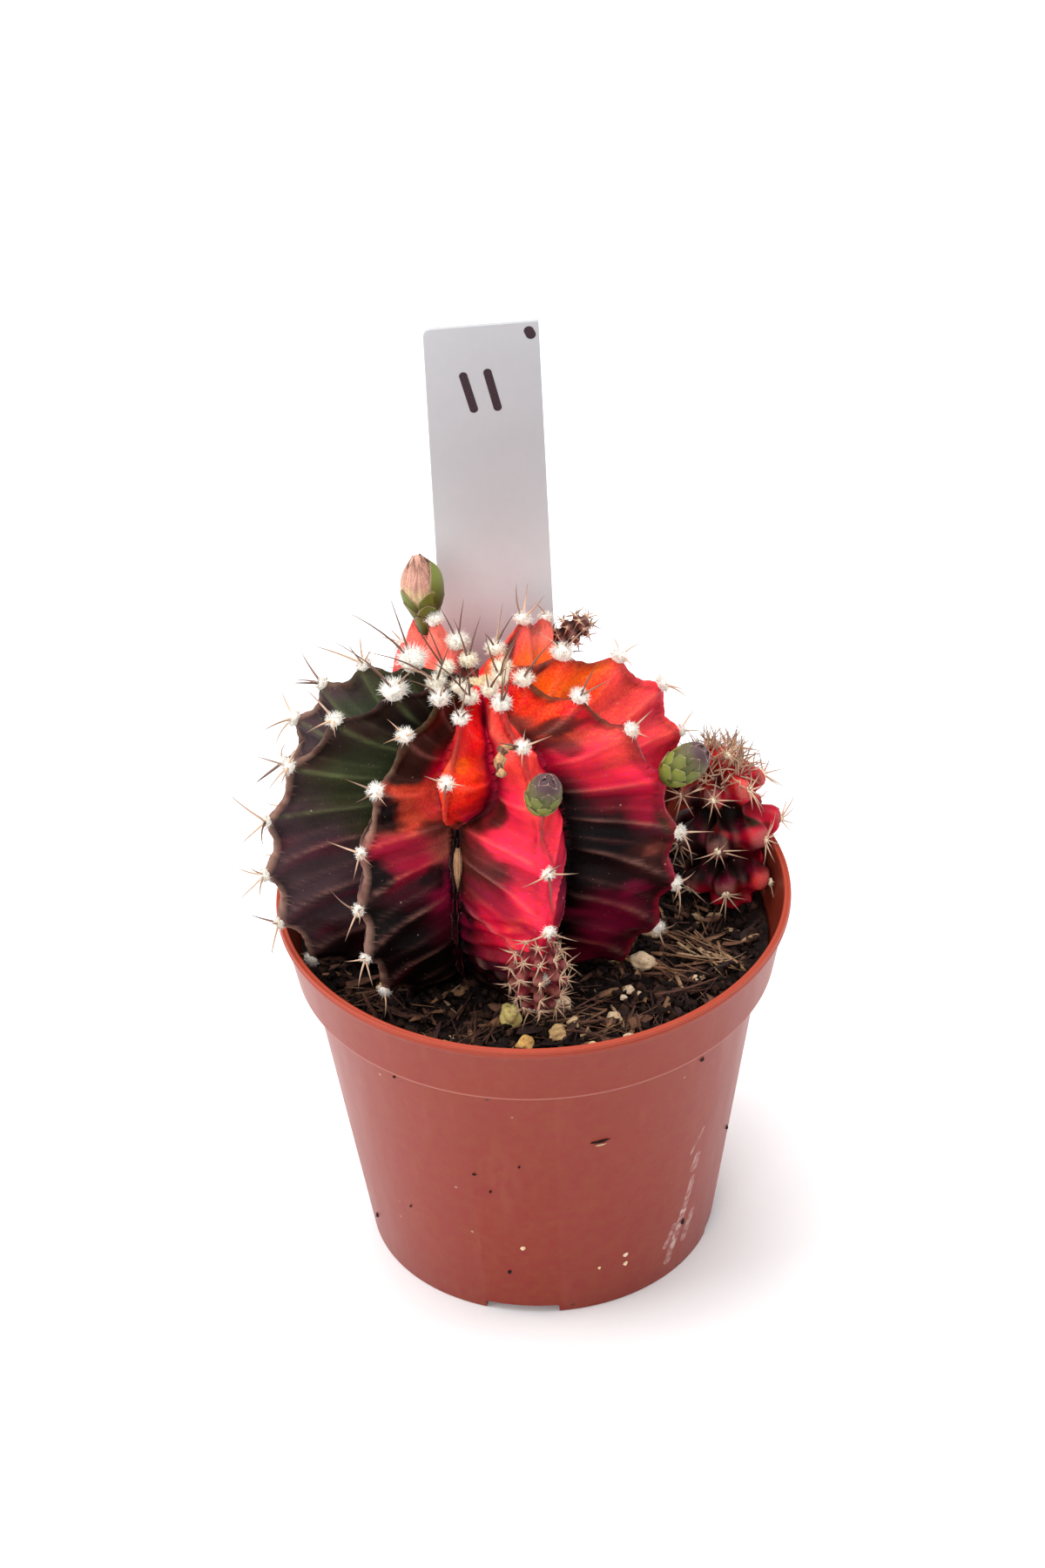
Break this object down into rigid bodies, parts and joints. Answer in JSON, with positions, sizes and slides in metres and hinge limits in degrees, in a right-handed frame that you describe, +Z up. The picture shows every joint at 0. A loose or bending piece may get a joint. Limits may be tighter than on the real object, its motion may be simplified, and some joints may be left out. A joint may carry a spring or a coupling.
{
  "type": "potted cactus",
  "caption": "Variegated ribbed cactus on its own roots in a round nursery pot of soil, with offsets, scaly buds, a dried flower and a plain plant label.",
  "frame": {"origin": "centre of the flat pad under the pot, on the surface that the pot stands on", "axes": "+Z up along the pot's axis, -Y towards the plant's front, +X to its right as seen from the front"},
  "size_m": [0.0917, 0.0865, 0.1501],
  "materials": {
    "pot_plastic": "terracotta-coloured moulded plastic, satin, with chalky scuffs and dirt specks",
    "soil": "damp dark peat with bark shreds, dry fibres and tan grit, rough",
    "cactus_skin": "waxy satin skin variegated red, orange, maroon and dark green with light raised veins",
    "pup_skin": "waxy satin skin, dark maroon and red",
    "wool": "white to cream felted wool in tufts",
    "spine": "dry tan spines, pinkish at the base and brown at the tip, slightly glossy",
    "bud": "smooth green scales with pale pink margins and purple tips",
    "dry_petal": "dried papery petals, brown and yellow with black patches",
    "label_plastic": "white plastic, slightly translucent satin, with two pen strokes and a dot"
  },
  "bodies": {
    "root": {"pot": "pot_plastic", "soil": "soil", "cactus_body": "cactus_skin", "pup_right": "pup_skin", "pup_front": "pup_skin", "pup_back": "pup_skin", "bud_front": "bud", "bud_right": "bud", "bud_spent": "bud", "dried_flower": "dry_petal", "plant_label": "label_plastic"}
  },
  "joints": []
}
